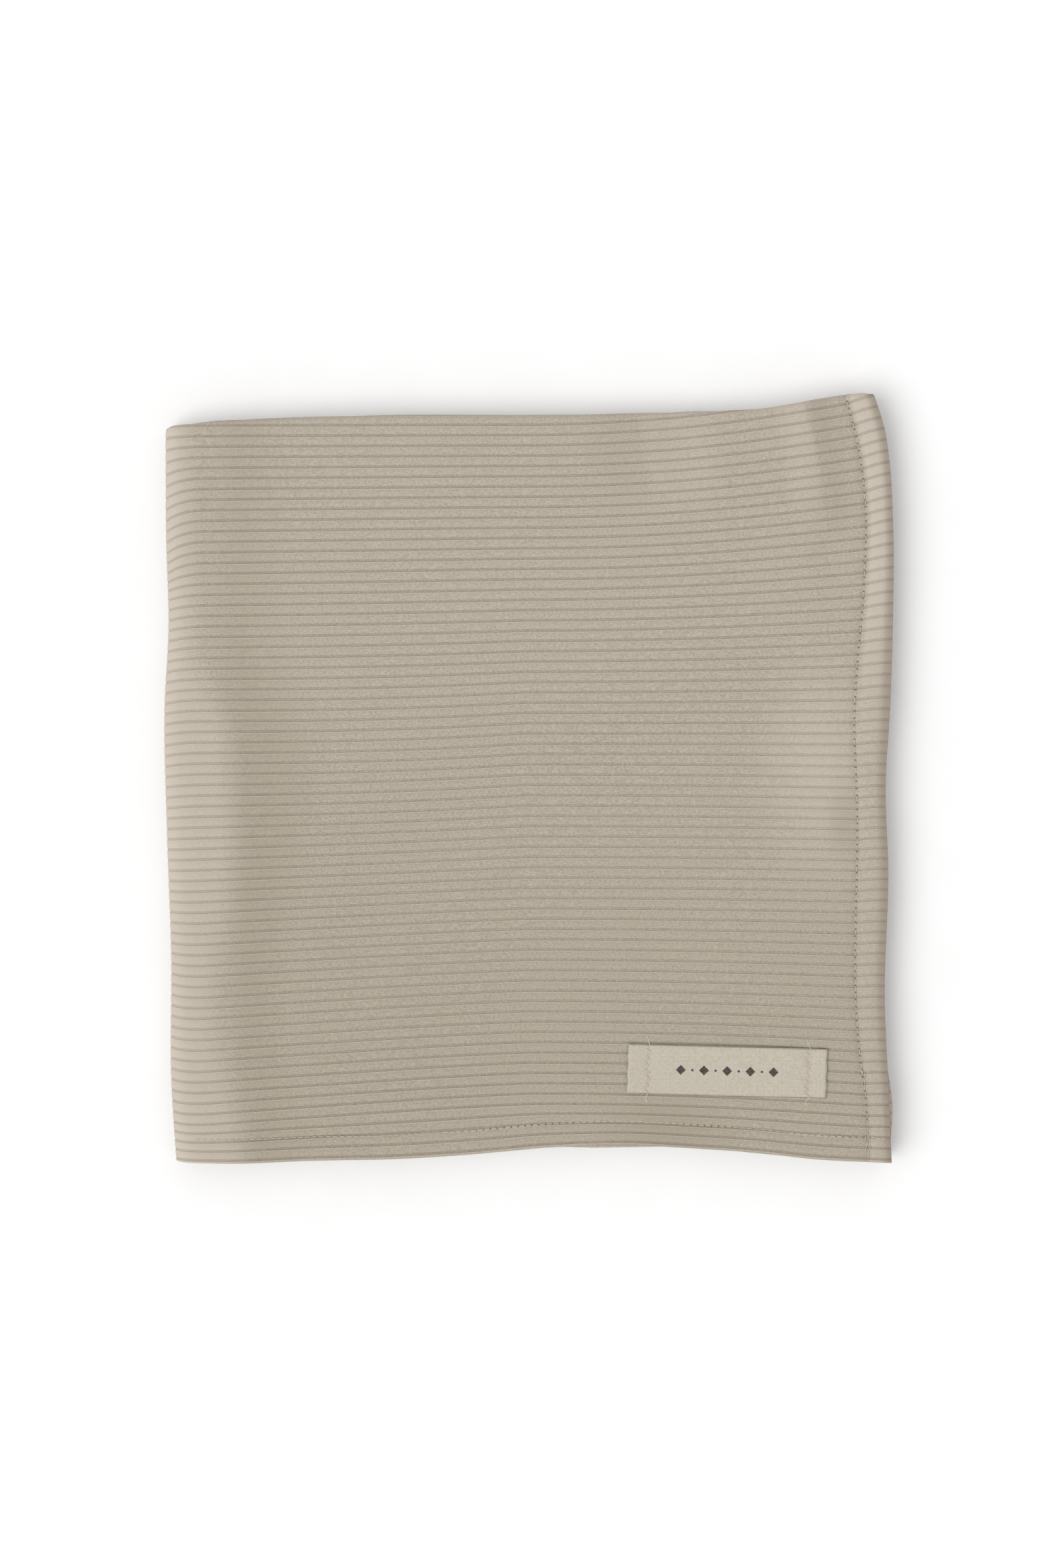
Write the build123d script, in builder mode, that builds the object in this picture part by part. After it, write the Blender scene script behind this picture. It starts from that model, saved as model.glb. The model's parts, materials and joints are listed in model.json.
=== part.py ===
from build123d import *
import os
from math import cos, radians, sin

# A baby wrap: one sheet of rib-knit cloth, folded in half twice along its length and then
# twice across its width. It lies flat with its last fold at -X, its end hems at -Y and its
# side hems at +X. The origin is under the middle of the folded stack, +Z is up.
#
# The sheet is four quarters wide. From the floor up they are the bottom, lower, upper and top
# quarter, and each is four layers of cloth. The lower leaf is the bottom and lower quarters,
# the upper leaf is the upper and top quarters, and the last fold opens like a book.

# Driving dimensions, in millimetres and degrees.
folded_width = 252.0  # X, from the last fold to the side hems
folded_length = 262.0  # Y, from the end hems to the folds of the far edge
cloth = 0.70  # thickness of one layer of the knit, lying loose
layer_pitch = 0.75  # one layer of cloth and the air under it
leaf_gap = 0.30  # air between the two leaves of the last fold
side_hem = 12.0  # cloth turned back along the side edges
side_seam = 10.5  # from the outer edge to the row of stitches
end_hem = 10.0  # cloth turned back along the end edges
end_seam = 8.4
hinge_back = 2.0  # the cloth between the two leaves when the wrap lies open, each side of the hinge

stitch_pitch = 2.4
stitch_length = 1.9
thread = 0.35  # sewing thread, as flattened by the seam
stitch_depth = 0.25  # how far a stitch is drawn into the knit
groove = thread + 0.10

label_length = 68.6
label_width = 17.2
label_tape = 0.40
label_x = 69.2
label_y = -101.1
label_turn = -1.45  # the tape was sewn on slightly askew
tack_inset = 6.7  # from each cut end of the tape to its tack seam
tack_length = 25.0
tack_swing = 1.1  # half width of the zigzag
tack_steps = 14
tack_thread = 0.40
motif_pitch = 8.0
motif_size = 1.7
motif_ink = 0.05

# Heights. A quarter is four layers; each quarter's right side of the cloth is one outer face.
layers = 4
quarter = (layers - 1) * layer_pitch + cloth
bottom_z = 0.0
lower_z = bottom_z + layers * layer_pitch
lower_top = lower_z + quarter
upper_z = lower_top + leaf_gap
top_z = upper_z + layers * layer_pitch
stack = top_z + quarter
hinge_z = (lower_top + upper_z) / 2
under_fold_z = (bottom_z + quarter + lower_z) / 2  # middle of the fold between the lower quarters

# Places along X and Y.
right = folded_width / 2
left = -right
bend_x = left + (stack - hinge_z)  # where the last fold's bend meets the flat cloth
under_fold_x = right - (under_fold_z - bottom_z)
side_hem_x = right - side_hem
far = folded_length / 2
near = -far
end_hem_y = near + end_hem
hinge_x = bend_x - hinge_back

os.makedirs("parts", exist_ok=True)


def save(piece, name):
    """Label a finished piece and write it as one STEP file."""
    piece.part.label = name
    export_step(piece.part, f"parts/{name}.step")


def section_plane(x, face_z, face_up):
    """Plane across X whose second axis runs into the cloth from a quarter's right side."""
    return Plane(origin=(x, 0, face_z), x_dir=(0, 1, 0), z_dir=(-1 if face_up else 1, 0, 0))


def folded_section(plane, first_y):
    """Four layers of cloth in one run: out along the face, back, out again and back.

    Layer 1 is the right side. It goes round the far edge into layer 4, which turns at the
    near edge into layer 3, and that turns inside the far edge into layer 2.
    """
    depth = [cloth / 2 + i * layer_pitch for i in range(layers)]
    half = layer_pitch / 2
    wide = 3 * half
    far_y = far - wide - cloth / 2
    near_y = near + half + cloth / 2
    with BuildSketch(plane) as section:
        with BuildLine():
            Line((first_y, depth[0]), (far_y, depth[0]))
            ThreePointArc((far_y, depth[0]), (far_y + wide, depth[0] + wide), (far_y, depth[3]))
            Line((far_y, depth[3]), (near_y, depth[3]))
            ThreePointArc((near_y, depth[3]), (near_y - half, depth[3] - half), (near_y, depth[2]))
            Line((near_y, depth[2]), (far_y, depth[2]))
            ThreePointArc((far_y, depth[2]), (far_y + half, depth[2] - half), (far_y, depth[1]))
            Line((far_y, depth[1]), (first_y, depth[1]))
        trace(line_width=cloth)
    return section.sketch


def slot_row(plane, count, rotation):
    """A row of flat stitches along the plane's first axis, or its second at 90 degrees."""
    along_x = rotation == 0
    with BuildSketch(plane) as row:
        with GridLocations(stitch_pitch, stitch_pitch, count if along_x else 1, 1 if along_x else count):
            SlotOverall(stitch_length, thread, rotation=rotation)
    return row.sketch


# The four quarters of the sheet: name, height of the right side, whether it faces up, where
# the flat cloth ends at +X, and whether that end is a side hem.
quarters = [
    ("bottom", bottom_z, False, under_fold_x, False),
    ("lower", lower_top, True, under_fold_x, False),
    ("upper", upper_z, False, side_hem_x, True),
    ("top", stack, True, side_hem_x, True),
]

for name, face_z, face_up, flat_end, has_side_hem in quarters:
    inward = -1 if face_up else 1
    start = section_plane(bend_x, face_z, face_up)
    flat_run = flat_end - bend_x

    # Flat cloth of the quarter, from the last fold to the hem or the next fold.
    with BuildPart() as flat_cloth:
        extrude(folded_section(start, end_hem_y), amount=flat_run, dir=(1, 0, 0))
    save(flat_cloth, f"wrap_quarter_{name}")

    # End hems: the turned edges of layers 1 and 2, rounded where the cloth turns, with a
    # channel on each side of layer 1 where the two threads are drawn into the knit.
    with BuildPart() as end_hems:
        with BuildSketch(start):
            for layer in range(2):
                with BuildLine():
                    top_edge = layer * layer_pitch
                    Line((end_hem_y, top_edge), (near + cloth / 2, top_edge))
                    ThreePointArc(
                        (near + cloth / 2, top_edge),
                        (near, top_edge + cloth / 2),
                        (near + cloth / 2, top_edge + cloth),
                    )
                    Line((near + cloth / 2, top_edge + cloth), (end_hem_y, top_edge + cloth))
                    Line((end_hem_y, top_edge + cloth), (end_hem_y, top_edge))
                make_face()
            for side in (stitch_depth / 2, cloth - stitch_depth / 2):
                with Locations((near + end_seam, side)):
                    Rectangle(groove, stitch_depth, mode=Mode.SUBTRACT)
        extrude(amount=flat_run, dir=(1, 0, 0))
    save(end_hems, f"end_hem_{name}")

    # The end hem's two threads: needle thread on the right side, looper thread on the back.
    end_count = int(flat_run / stitch_pitch)
    seam_x = (bend_x + flat_end) / 2
    for kind, depth in (("needle", 0.0), ("looper", cloth)):
        row_plane = Plane(origin=(seam_x, near + end_seam, face_z + inward * depth))
        sink = inward if kind == "needle" else -inward
        with BuildPart() as stitches:
            extrude(slot_row(row_plane, end_count, 0), amount=stitch_depth, dir=(0, 0, sink))
        save(stitches, f"end_{kind}_thread_{name}")

    if not has_side_hem:
        continue

    # Side hem: the turned edge runs along the whole sheet, so it is folded with the layers.
    with BuildPart() as hem:
        hem_start = section_plane(side_hem_x, face_z, face_up)
        extrude(folded_section(hem_start, near + cloth / 2), amount=side_hem, dir=(1, 0, 0))
        for depth in (stitch_depth / 2, cloth - stitch_depth / 2):
            with Locations((right - side_seam, -layer_pitch, face_z + inward * depth)):
                Box(groove, folded_length - layers * layer_pitch, stitch_depth, mode=Mode.SUBTRACT)
    save(hem, f"side_hem_{name}")

    side_count = int((folded_length - 3 * layers * layer_pitch) / stitch_pitch)
    for kind, depth in (("needle", 0.0), ("looper", cloth)):
        row_plane = Plane(origin=(right - side_seam, 0, face_z + inward * depth))
        sink = inward if kind == "needle" else -inward
        with BuildPart() as stitches:
            extrude(slot_row(row_plane, side_count, 90), amount=stitch_depth, dir=(0, 0, sink))
        save(stitches, f"side_{kind}_thread_{name}")

# The last fold: the top quarter goes round the outside into the bottom quarter, and the upper
# quarter goes round the inside into the lower one.
fold_line = Axis(origin=(bend_x, 0, hinge_z), direction=(0, -1, 0))
for name, face_z, face_up in (("outer", stack, True), ("inner", upper_z, False)):
    with BuildPart() as bend:
        section = folded_section(section_plane(bend_x, face_z, face_up), near + cloth / 2)
        revolve(section.faces(), axis=fold_line, revolution_arc=180)
    save(bend, f"last_fold_{name}")

# The fold before it, on the right, joins the lower quarter to the bottom one.
with BuildPart() as under_fold:
    section = folded_section(section_plane(under_fold_x, lower_top, True), near + cloth / 2)
    under_line = Axis(origin=(under_fold_x, 0, under_fold_z), direction=(0, 1, 0))
    revolve(section.faces(), axis=under_line, revolution_arc=180)
save(under_fold, "under_fold")

# Label: a length of flat tape with cut ends, on the top quarter near its hems.
turn = radians(label_turn)
label_plane = Plane(origin=(label_x, label_y, stack), x_dir=(cos(turn), sin(turn), 0), z_dir=(0, 0, 1))
tape_top = label_plane.offset(label_tape)

with BuildPart() as tape:
    with BuildSketch(label_plane):
        Rectangle(label_length, label_width)
    extrude(amount=label_tape)
save(tape, "label_tape")

# Tack seams: a zigzag over the tape, and a few stitches beyond its edges into the cloth.
over_tape = label_width - 3 * tack_thread
tail = (tack_length - label_width) / 2
for name, side in (("left", -1), ("right", 1)):
    seam = side * (label_length / 2 - tack_inset)
    zigzag = [
        (seam + tack_swing * (-1) ** i, over_tape * (i / tack_steps - 0.5))
        for i in range(tack_steps + 1)
    ]
    with BuildPart() as tack:
        with BuildSketch(tape_top):
            with BuildLine():
                Polyline(*zigzag)
            trace(line_width=tack_thread)
        extrude(amount=tack_thread / 2)
        with BuildSketch(label_plane):
            for end in (-1, 1):
                with Locations((seam, end * (label_width + tail + tack_thread) / 2)):
                    SlotOverall(tail, tack_thread, rotation=90)
        extrude(amount=tack_thread / 2)
    save(tack, f"label_tack_{name}")

# A plain printed row of lozenges with dots between them.
with BuildPart() as motif:
    with BuildSketch(tape_top):
        with GridLocations(motif_pitch, 0, 5, 1):
            RegularPolygon(radius=motif_size, side_count=4)
        with GridLocations(motif_pitch, 0, 4, 1):
            Circle(motif_size / 4)
    extrude(amount=motif_ink)
save(motif, "label_motif")

print("folded stack", folded_width, folded_length, round(stack, 2))
print("last fold opens about", round(hinge_x, 3), round(hinge_z, 3))
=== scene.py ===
import json
import math

import bmesh
import bpy
import numpy as np
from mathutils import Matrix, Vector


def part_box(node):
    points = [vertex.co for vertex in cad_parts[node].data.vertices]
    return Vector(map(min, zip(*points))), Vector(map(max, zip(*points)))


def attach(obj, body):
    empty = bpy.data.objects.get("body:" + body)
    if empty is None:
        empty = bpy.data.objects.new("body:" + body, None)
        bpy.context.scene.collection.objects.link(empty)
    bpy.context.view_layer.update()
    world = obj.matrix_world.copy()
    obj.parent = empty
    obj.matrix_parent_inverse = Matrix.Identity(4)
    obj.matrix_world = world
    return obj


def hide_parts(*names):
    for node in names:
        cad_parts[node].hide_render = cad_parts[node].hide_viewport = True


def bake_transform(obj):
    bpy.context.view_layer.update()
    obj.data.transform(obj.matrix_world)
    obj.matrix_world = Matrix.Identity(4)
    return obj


# The folded baby wrap, dressed over its CAD frame. Lengths are in millimetres until a mesh is
# made. +Y is the far edge (the folds), -Y the near edge (the end hems), -X the last fold and
# +X the side hems.

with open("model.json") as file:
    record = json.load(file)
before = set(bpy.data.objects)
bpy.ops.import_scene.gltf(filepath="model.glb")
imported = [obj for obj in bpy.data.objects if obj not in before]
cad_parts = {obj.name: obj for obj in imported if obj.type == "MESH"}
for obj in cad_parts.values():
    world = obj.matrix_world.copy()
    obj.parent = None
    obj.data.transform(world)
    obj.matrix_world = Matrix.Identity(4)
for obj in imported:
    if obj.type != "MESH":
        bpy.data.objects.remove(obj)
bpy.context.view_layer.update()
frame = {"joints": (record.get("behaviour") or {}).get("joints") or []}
MM = 0.001


def box_mm(node):
    """Lowest and highest corner of a CAD node, in millimetres."""
    low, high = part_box(node)
    return [c / MM for c in low], [c / MM for c in high]


# ---------------------------------------------------------------- sizes from the frame
top_low, top_high = box_mm("wrap_quarter_top")
hem_low, hem_high = box_mm("side_hem_top")
end_low, end_high = box_mm("end_hem_top")
outer_low, outer_high = box_mm("last_fold_outer")
under_low, under_high = box_mm("under_fold")
side_low, side_high = box_mm("side_needle_thread_top")
seam_low, seam_high = box_mm("end_needle_thread_top")

stack = top_high[2]
left, right = outer_low[0], hem_high[0]
near, far = hem_low[1], hem_high[1]
bend_x = outer_high[0]  # where the last fold's bend meets the flat cloth
bend_z = frame["joints"][0]["pos_m"][2] / MM  # the height of the last fold's hinge
under_x = under_low[0]
under_z = (under_low[2] + under_high[2]) / 2
lower_top = box_mm("wrap_quarter_lower")[1][2]
upper_z = box_mm("wrap_quarter_upper")[0][2]
# A quarter is four layers high and an end hem is two.
layer_pitch = ((top_high[2] - top_low[2]) - (end_high[2] - end_low[2])) / 2
layer = end_high[2] - end_low[2] - layer_pitch
side_seam_x = (side_low[0] + side_high[0]) / 2
end_seam_y = (seam_low[1] + seam_high[1]) / 2

# ---------------------------------------------------------------- the cloth itself
knit = 0.56  # thickness of one layer as it lies, inside the CAD's layer
rib_pitch = 3.55
rib_at = 1.2  # where one groove crosses the middle of the cloth
groove_depth = 0.19
groove_half = 0.45
# Rows of points across one rib: how far on from the groove, and how deep in it.
groove_rows = [(0.0, 1.0), (0.32, 0.90), (0.52, 0.10), (1.775, -0.10), (3.03, 0.10), (3.23, 0.90)]
stitch_pitch = 2.4
stitch_length = 1.75
thread = 0.38
sunk_in = 0.14  # how far the ends of a stitch lie below the knit's surface
seam_depth = 0.20  # how far the seams draw the cloth in
seam_half = 0.55
floor_gap = 0.02  # the least height of a stitch under the wrap
edge_round = 0.30  # radius of a free edge
edge_steps = [0.0, 0.04, 0.12, 0.30]  # how far in from a free edge the points nearest to it are
far_away = 1000.0


def smooth(t):
    """A soft step, 0 up to t = 0 and 1 from t = 1."""
    t = np.clip(t, 0.0, 1.0)
    return t * t * (3 - 2 * t)


def bump(t):
    """A soft hill, 1 at t = 0."""
    return np.exp(-np.square(t))


def curve_through(*points):
    """A smooth function through the given (place, value) points, level beyond the ends."""
    places, values = np.array(points, float).T
    slopes = np.gradient(values, places)

    def value(at):
        at = np.clip(at, places[0], places[-1])
        i = np.clip(np.searchsorted(places, at, side="right") - 1, 0, len(places) - 2)
        gap = places[i + 1] - places[i]
        t = (at - places[i]) / gap
        start = values[i] * (1 + 2 * t) * (1 - t) ** 2 + slopes[i] * gap * t * (1 - t) ** 2
        end = values[i + 1] * t * t * (3 - 2 * t) + slopes[i + 1] * gap * t * t * (t - 1)
        return start + end

    return value


# Outline of the wrap as it was laid down by hand: each edge wanders a few millimetres.
far_edge = curve_through(
    (-126, 121.6), (-106, 123.5), (-78, 124.7), (-50, 125.4), (14, 125.6), (60, 126.7),
    (87, 127.9), (97, 129.4), (107, 131.2), (117, 132.7), (126, 132.9),
)
near_edge = curve_through(
    (-126, -132.9), (-105, -133.2), (-78, -132.1), (-50, -131.6), (-23, -130.0), (5, -127.5),
    (32, -126.7), (55, -127.9), (78, -129.5), (96, -131.5), (126, -132.9),
)
left_edge = curve_through(
    (-131, -121.6), (-104, -123.3), (-58, -123.4), (-12, -124.9), (30, -125.7), (61, -124.3),
    (90, -125.1), (131, -125.3),
)
right_edge = curve_through(
    (-131, 126.1), (-104, 124.9), (-76, 123.7), (-31, 124.9), (-3, 124.0), (25, 125.6),
    (52, 126.5), (89, 126.5), (107, 125.4), (118, 123.8), (131, 119.8),
)
side_seam_line = curve_through(
    (-131, 117.9), (-110, 117.2), (-93, 114.9), (-8, 114.1), (22, 113.2), (38, 114.1),
    (61, 116.2), (102, 116.2), (118, 113.4), (131, 109.8),
)

# The ribs fan out towards the side hem, which was stretched as it was sewn.
rib_fan = curve_through(
    (-131, -6.0), (-89, -3.6), (-42, -1.5), (2, -0.9), (28, 1.2), (49, 4.0), (74, 8.0),
    (95, 10.7), (131, 13.2),
)

# How far the ribs dip where they go over the last fold: most near its far end, and they turn up
# again near the other end.
fold_dip = curve_through(
    (-131, -1.0), (-104, -1.8), (-66, -1.7), (-32, -0.5), (5, 1.0), (55, 1.4), (66, 1.7),
    (75, 3.3), (93, 3.6), (107, 2.4), (119, 0.5), (131, 0.0),
)
fold_roll = 14.0  # how far from the fold's edge the dip starts


def rib_drift(x, y):
    """How far along Y a rib has drifted at x from where it crosses the middle of the wrap."""
    half_width = 124.0
    s = (y - near) / (far - near)
    t = np.clip(-x / half_width, 0, 1)
    middle = bump((s - 0.58) / 0.16)
    sag = (1 - middle) * (t / 0.83) ** 1.2 + middle * (1 - (1 - t) ** 2.7)
    over_fold = np.clip((left + fold_roll - x) / fold_roll, 0, 1)
    dip = fold_dip(y) * over_fold**2.2
    across = np.clip(x / half_width, 0, 1.02)
    over_hem = np.clip((x - side_seam_x) / 10, 0, 1)
    hem_lift = 0.9 * (1 - np.square(1 - over_hem)) * (over_hem > 0)
    return -7 * (1 - s) * sag - dip + rib_fan(y) * across**2 + hem_lift


def relief(x, y):
    """Height of the top of the stack above flat: the soft rise and fall of cloth lying loose."""
    from_fold = x + 0.10 * y + 0.0006 * y * y
    roll_off = -1.25 * smooth((-98 - from_fold) / 28)
    strip = -0.35 * bump((from_fold + 92) / 8)
    rise = 0.35 * smooth((x - 55) / 50)
    ear_crease = -0.90 * bump((x - 54) / 8) * smooth((y - 78) / 40)
    swell_side = np.where(x < 96, 12, 5.5)
    ear_swell = 1.20 * bump((x - 96) / swell_side) * smooth((y - 40) / 55)
    along = (x - 92) * 0.94 - y * 0.34
    across = (x - 92) * 0.34 + y * 0.94
    dent = -0.34 * bump((across - 1) / 3.2) * bump(along / 18)
    dent = dent - 0.22 * bump((across + 14) / 4.5) * bump((along + 4) / 15)
    waves = 0.10 * np.sin(x / 27 + 0.6) * np.sin(y / 33 + 1.1) + 0.07 * np.sin(x / 15 - y / 21)
    near_sag = -0.35 * smooth((-104 - y) / 24) * bump((x - 30) / 40)
    return roll_off + strip + rise + ear_crease + ear_swell + dent + waves + near_sag


def hem_relief(x, y):
    """The side hem is puffy and rolls over at its edge; the two seams draw the cloth in."""
    pucker = 0.72 + 0.28 * np.cos(2 * np.pi * y / stitch_pitch)
    puff = 0.75 * smooth((x - side_seam_x) / 3.2) - 1.7 * smooth((x - right + 4.2) / 6.5)
    side = -0.45 * bump((x - side_seam_x + 0.4) / 1.2) * pucker
    end_puff = 0.18 * bump((y - (near + end_seam_y) / 2) / 3)
    drawn = np.maximum(bump((x + 8) / 32), bump((x - 61) / 11))
    end = -0.16 * bump((y - end_seam_y) / 1.1) * (0.3 + 0.7 * drawn)
    return puff + side + end_puff + end


def edge_lines(x, level, quarter):
    """Where the near and far edges lie at x; hidden layers stand in from the near edge or out."""
    hidden_near = 0.9 - 2.0 * bump((x - 26) / 20)
    return near_edge(x) + level * hidden_near, far_edge(x) - 0.5 * quarter


def settle(x, y, z, level, quarter):
    """Move a point of the neat stack to where the cloth really lies.

    level is 0 on the top face and 1 on the hidden layers, quarter 0 on the top quarter and 1
    below it. Nothing moves up or down at the height of the hinge, or under it.
    """
    hidden_right = -0.8 + 1.9 * bump((y + 112) / 13)
    near_line, far_line = edge_lines(x, level, quarter)
    out_y = near_line + (y - near) / (far - near) * (far_line - near_line)
    seam_line = side_seam_line(y)
    right_line = right_edge(y) + level * hidden_right
    left_line = left_edge(y)
    inside = left_line + (x - left) / (side_seam_x - left) * (seam_line - left_line)
    hem = seam_line + (x - side_seam_x) / (right - side_seam_x) * (right_line - seam_line)
    out_x = np.where(x < side_seam_x, inside, hem)
    share = np.clip((z - bend_z) / (stack - bend_z), 0, None)
    out_z = z + share * (relief(out_x, out_y) + hem_relief(x, y))
    return np.stack(np.broadcast_arrays(out_x, out_y, out_z), axis=-1)


# ---------------------------------------------------------------- folding along Y
# v runs along one thread of the sheet: over the top face (v = y), round the far edge, back
# underneath, round the near edge, out again, round inside the far edge, and back.
wide_bend = 1.5 * layer_pitch  # radius of the bend from the first layer to the fourth
tight_bend = 0.5 * layer_pitch  # radius of a bend between neighbours
far_y = far - wide_bend - layer / 2
near_y = near + tight_bend + layer / 2
depths = [layer / 2 + i * layer_pitch for i in range(4)]
wide_arc = math.pi * wide_bend
tight_arc = math.pi * tight_bend
v_back = far_y + wide_arc
v_near = v_back + far_y - near_y
v_out = v_near + tight_arc
v_inside = v_out + far_y - near_y
v_return = v_inside + tight_arc
v_end = v_return + far_y - near


def section(v):
    """Place (y, depth) and right-side normal of the sheet at v, in the folded section."""
    bends = [(v - far_y) / wide_bend, (v - v_near) / tight_bend, (v - v_inside) / tight_bend]
    sin_a, sin_b, sin_c = [np.sin(angle) for angle in bends]
    cos_a, cos_b, cos_c = [np.cos(angle) for angle in bends]
    runs = [
        (v <= far_y, v, depths[0], 0, -1),
        (v <= v_back, far_y + wide_bend * sin_a, depths[0] + wide_bend * (1 - cos_a), sin_a, -cos_a),
        (v <= v_near, far_y - (v - v_back), depths[3], 0, 1),
        (v <= v_out, near_y - tight_bend * sin_b, depths[3] - tight_bend * (1 - cos_b), -sin_b, cos_b),
        (v <= v_inside, near_y + (v - v_out), depths[2], 0, -1),
        (v <= v_return, far_y + tight_bend * sin_c, depths[2] - tight_bend * (1 - cos_c), -sin_c, -cos_c),
        (v > v_return, far_y - (v - v_return), depths[1], 0, 1),
    ]
    when = [run[0] for run in runs]
    return [np.select(when, [run[i] + 0 * v for run in runs]) for i in range(1, 5)]


# ---------------------------------------------------------------- folding along X
# A column is where one line along the cloth lies: its place at depth 0 (x and z), the direction
# of depth (x and z), 0 on the top quarter to 1 below it, and whether the side hem is on it.
COLUMN_X, DEPTH_X, QUARTER, HAS_HEM = 0, 2, 4, 5


def flat_columns(xs, z, face_up, quarter, has_hem):
    """Columns at the given places of a flat quarter whose right side is at height z."""
    xs = np.asarray(xs, float)
    same = np.ones_like(xs)
    inward = -1 if face_up else 1
    return np.stack([xs, z * same, 0 * same, inward * same, quarter * same, has_hem * same])


def turn_columns(x, z, radius, side, depth_in, start, quarters, steps):
    """Columns round a bend, between its ends.

    side is -1 for a bend on the left and 1 on the right, depth_in says whether depth runs
    towards its centre, and start is 1 if it begins at its top.
    """
    a = np.linspace(0, np.pi, steps + 1)[1:-1]
    up = start * np.cos(a)
    q = quarters[0] + (quarters[1] - quarters[0]) * smooth(a / np.pi)
    inward = -1 if depth_in else 1
    return np.array([
        x + side * radius * np.sin(a), z + radius * up, inward * side * np.sin(a), inward * up, q, 0 * a,
    ])


def spaced(start, stop, step):
    """Even places from start to stop, about step apart."""
    return np.linspace(start, stop, max(1, round(abs(stop - start) / step)) + 1)


# Columns of the side hem, as distances from its edge, closest together at the seam.
hem_steps = np.array(
    edge_steps + [0.9, 2.0, 3.6, 5.4, 7.2, 8.5, 9.3, 9.8, 10.2, 10.5, 10.8, 11.2, 11.8, 12.8]
)


def free_side(step):
    """Columns of a quarter that ends in the side hem, from its free edge to the last fold."""
    hem = right - hem_steps
    return np.concatenate([hem, spaced(hem[-1], bend_x, step)[1:]])


def outer_sheet(step, low_step, steps):
    """Top quarter, round the last fold, bottom quarter."""
    return np.concatenate([
        flat_columns(free_side(step), stack, True, 0, 1),
        turn_columns(bend_x, bend_z, stack - bend_z, -1, True, 1, (0, 1), steps),
        flat_columns(spaced(bend_x, under_x, low_step), 0, False, 1, 0),
    ], axis=1)


def inner_sheet(step, steps):
    """Round the under fold, lower quarter, round the last fold inside, upper quarter."""
    return np.concatenate([
        flat_columns([under_x], 0, False, 1, 0),
        turn_columns(under_x, under_z, under_z, 1, True, -1, (1, 1), steps),
        flat_columns(spaced(under_x, bend_x, step), lower_top, True, 1, 0),
        turn_columns(bend_x, bend_z, bend_z - lower_top, -1, False, -1, (1, 1), steps),
        flat_columns(free_side(step)[::-1], upper_z, False, 1, 1),
    ], axis=1)


def sheet_points(columns, v, lift):
    """Points of the sheet at v, raised by lift off the middle of the cloth to its right side."""
    base_x, base_z, depth_x, depth_z, quarter = columns[:HAS_HEM]
    y, depth, normal_y, normal_d = section(v)
    level = 1 - (1 - quarter) * (1 - smooth((v - far_y) / wide_arc))
    d = depth + lift * normal_d
    return settle(base_x + d * depth_x, y + lift * normal_y, base_z + d * depth_z, level, quarter)


knit_start = near + 19.0  # below this the ribs come to lie along the end hem
m_edge = float(near_edge(0.0))  # m is y where a rib line crosses the middle of the wrap
join_at = v_back + 9.0  # where the face of the sheet meets its hidden part


def rib_place(columns, m):
    """v at each column of the rib line m."""
    x, quarter = columns[COLUMN_X], columns[QUARTER]
    near_line, far_line = edge_lines(x, quarter, quarter)

    def place(at):
        y = at + rib_drift(x, np.clip(at, near, far))
        return near + (y - near_line) / (far_line - near_line) * (far - near)

    closing = near + (m - m_edge) / (knit_start - m_edge) * (place(knit_start) - near)
    return np.where(m > knit_start, place(m), closing)


def rib_rows(start, stop):
    """Rows across the ribs: (m, how deep in a groove), with a groove at rib_at."""
    first = math.floor((start - rib_at) / rib_pitch)
    last = math.ceil((stop - rib_at) / rib_pitch)
    rows = [
        (rib_at + k * rib_pitch + step, deep)
        for k in range(first, last + 1)
        for step, deep in groove_rows
    ]
    return [row for row in rows if start < row[0] < stop]


def rounded(distance):
    """1 away from a free edge, falling to 0 at it like a quarter of a circle."""
    t = np.clip(distance / edge_round, 0, 1)
    return np.sqrt(1 - (1 - t) ** 2)


# ---------------------------------------------------------------- meshes
# What the knit's material reads at each point of the sheet: its column's x, its v and its rib
# line m, all in millimetres, and whether it has the side hem on it and lies on the top quarter.
mark_names = ["cloth_x", "cloth_v", "cloth_rib", "hem_side", "on_top"]


def new_piece(name, points, faces, marks=None, merge=True):
    """A mesh object from points in millimetres, with its edges joined and its normals outward."""
    mesh = bpy.data.meshes.new(name)
    mesh.from_pydata((points * MM).tolist(), [], faces)
    for i, mark in enumerate(mark_names if marks is not None else []):
        attribute = mesh.attributes.new(mark, "FLOAT", "POINT")
        attribute.data.foreach_set("value", np.asarray(marks[:, i], np.float32))
    bm = bmesh.new()
    bm.from_mesh(mesh)
    if merge:
        bmesh.ops.remove_doubles(bm, verts=bm.verts, dist=2e-6)
    bmesh.ops.recalc_face_normals(bm, faces=bm.faces)
    bm.to_mesh(mesh)
    bm.free()
    mesh.shade_smooth()
    piece = bpy.data.objects.new(name, mesh)
    bpy.context.scene.collection.objects.link(piece)
    return piece


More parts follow.
